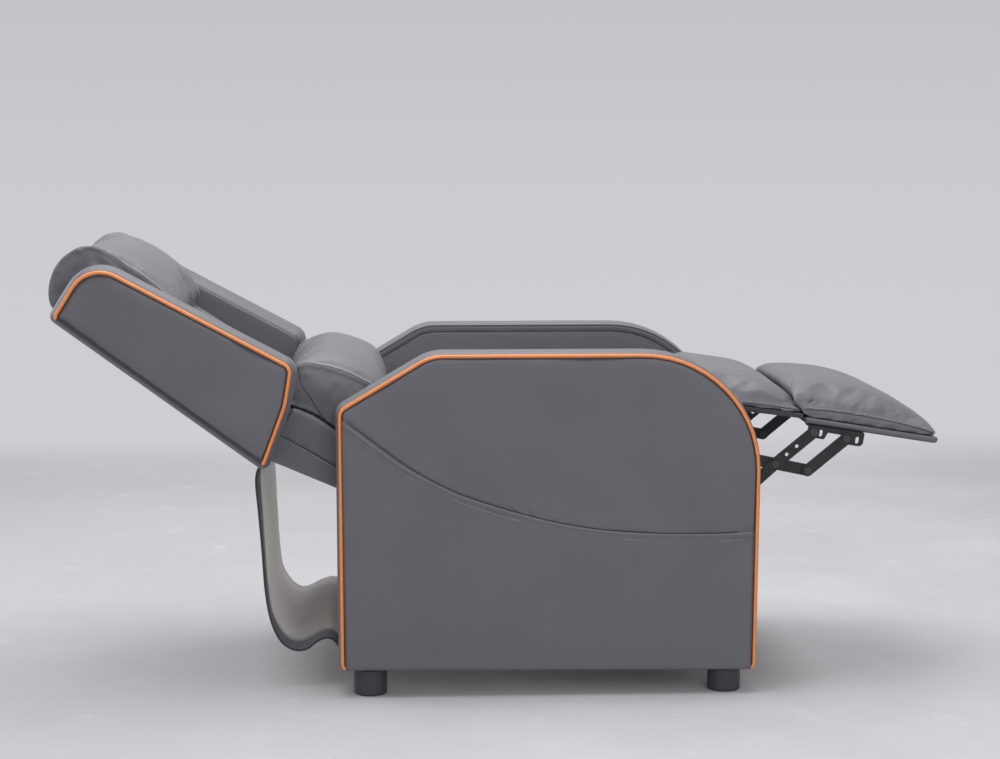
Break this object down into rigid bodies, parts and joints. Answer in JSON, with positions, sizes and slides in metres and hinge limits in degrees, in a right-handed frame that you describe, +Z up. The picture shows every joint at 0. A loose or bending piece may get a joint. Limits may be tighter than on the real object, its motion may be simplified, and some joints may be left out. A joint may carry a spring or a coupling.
{
  "type": "push-back recliner",
  "caption": "Padded one-seat recliner, fully reclined, with piped arms and wings, loose lumbar and head cushions and a linkage-driven footrest.",
  "frame": {"origin": "on the floor, under the middle of the reclined chair's box", "axes": "+X towards the sitter's feet, +Y to the sitter's left, +Z up"},
  "size_m": [1.6735, 0.7, 0.8539],
  "materials": {
    "grey_leather": "matte grained synthetic leather",
    "cushion_leather": "soft grained synthetic leather",
    "orange_piping": "smooth covered cord",
    "black_plastic": "moulded, matte",
    "curtain_cloth": "thin woven cloth",
    "rear_cloth": "stretched woven cloth",
    "wrapped_board": "board wrapped in dark cloth",
    "webbing": "woven straps",
    "frame_wood": "planed, unfinished",
    "rivet_steel": "plated, satin",
    "dark_steel": "black, semi-gloss"
  },
  "bodies": {
    "base": {"front_base_rail": "frame_wood", "front_left_foot": "black_plastic", "front_right_foot": "black_plastic", "left_arm": "grey_leather", "left_arm_lower_cover": "grey_leather", "left_arm_piping": "orange_piping", "left_seat_rail": "frame_wood", "left_side_plate": "dark_steel", "plate_screws": "rivet_steel", "rear_base_rail": "frame_wood", "rear_curtain": "curtain_cloth", "rear_left_foot": "black_plastic", "rear_right_foot": "black_plastic", "right_arm": "grey_leather", "right_arm_lower_cover": "grey_leather", "right_arm_piping": "orange_piping", "right_seat_rail": "frame_wood", "right_side_plate": "dark_steel", "seat_apron": "curtain_cloth", "seat_cushion": "cushion_leather", "seat_front_rail": "frame_wood", "seat_hinge_ears": "dark_steel", "seat_rear_rail": "frame_wood", "seat_webbing": "webbing", "side_plate_pins": "rivet_steel"},
    "back": {"right_wing": "grey_leather", "left_wing": "grey_leather", "right_wing_piping": "orange_piping", "left_wing_piping": "orange_piping", "back_rear_panel": "rear_cloth", "right_back_stile": "frame_wood", "left_back_stile": "frame_wood", "lower_back_rail": "frame_wood", "middle_back_rail": "frame_wood", "upper_back_rail": "frame_wood", "back_webbing": "webbing", "back_lower_box": "grey_leather", "back_pad": "cushion_leather", "lumbar_cushion": "cushion_leather", "head_cushion": "cushion_leather", "recline_brackets": "dark_steel"},
    "drive": {"right_drive_link": "dark_steel", "left_drive_link": "dark_steel", "drive_rod": "dark_steel"},
    "long": {"right_long_link": "dark_steel", "left_long_link": "dark_steel", "long_link_rivets": "rivet_steel"},
    "cross": {"right_cross_link": "dark_steel", "left_cross_link": "dark_steel", "cross_link_rivets": "rivet_steel"},
    "front": {"front_links": "dark_steel"},
    "control": {"control_links": "dark_steel"},
    "footrest": {"right_footrest_bracket": "dark_steel", "left_footrest_bracket": "dark_steel", "footrest_bracket_rivets": "rivet_steel", "footrest_board": "wrapped_board", "footrest_pad": "cushion_leather"},
    "leg_rest": {"leg_pad_board": "wrapped_board", "leg_pad": "cushion_leather", "leg_pad_hinges": "dark_steel"}
  },
  "joints": [
    {"name": "back_recline", "type": "hinge", "parent": "base", "child": "back", "pos_m": [-0.222, 0, 0.343], "axis": [0, 1, 0], "range_deg": [0, 48], "deforming": ["rear_curtain", "seat_apron"]},
    {"name": "footrest_fold", "type": "hinge", "parent": "base", "child": "drive", "pos_m": [0.31, 0, 0.388], "axis": [0, 1, 0], "range_deg": [0, 80]},
    {"name": "long_link_turn", "type": "hinge", "parent": "drive", "child": "long", "pos_m": [0.486, 0, 0.381], "axis": [0, 1, 0], "range_deg": [-78, 0]},
    {"name": "cross_link_turn", "type": "hinge", "parent": "long", "child": "cross", "pos_m": [0.531, 0, 0.421], "axis": [0, 1, 0], "range_deg": [0, 76]},
    {"name": "front_link_turn", "type": "hinge", "parent": "cross", "child": "front", "pos_m": [0.593, 0, 0.408], "axis": [0, 1, 0], "range_deg": [-76, 0]},
    {"name": "footrest_turn", "type": "hinge", "parent": "long", "child": "footrest", "pos_m": [0.604, 0, 0.481], "axis": [0, 1, 0], "range_deg": [0, 76]},
    {"name": "control_link_turn", "type": "hinge", "parent": "base", "child": "control", "pos_m": [0.35, 0, 0.43], "axis": [0, 1, 0], "range_deg": [0, 77.5]},
    {"name": "leg_pad_turn", "type": "hinge", "parent": "base", "child": "leg_rest", "pos_m": [0.424, 0, 0.492], "axis": [0, 1, 0], "range_deg": [0, 78]}
  ],
  "couplings": [
    {"joint": "long_link_turn", "follows": "footrest_fold", "ratio": -0.975},
    {"joint": "cross_link_turn", "follows": "footrest_fold", "ratio": 0.95},
    {"joint": "front_link_turn", "follows": "footrest_fold", "ratio": -0.95},
    {"joint": "footrest_turn", "follows": "footrest_fold", "ratio": 0.95},
    {"joint": "control_link_turn", "follows": "footrest_fold", "ratio": 0.96875},
    {"joint": "leg_pad_turn", "follows": "footrest_fold", "ratio": 0.975}
  ]
}
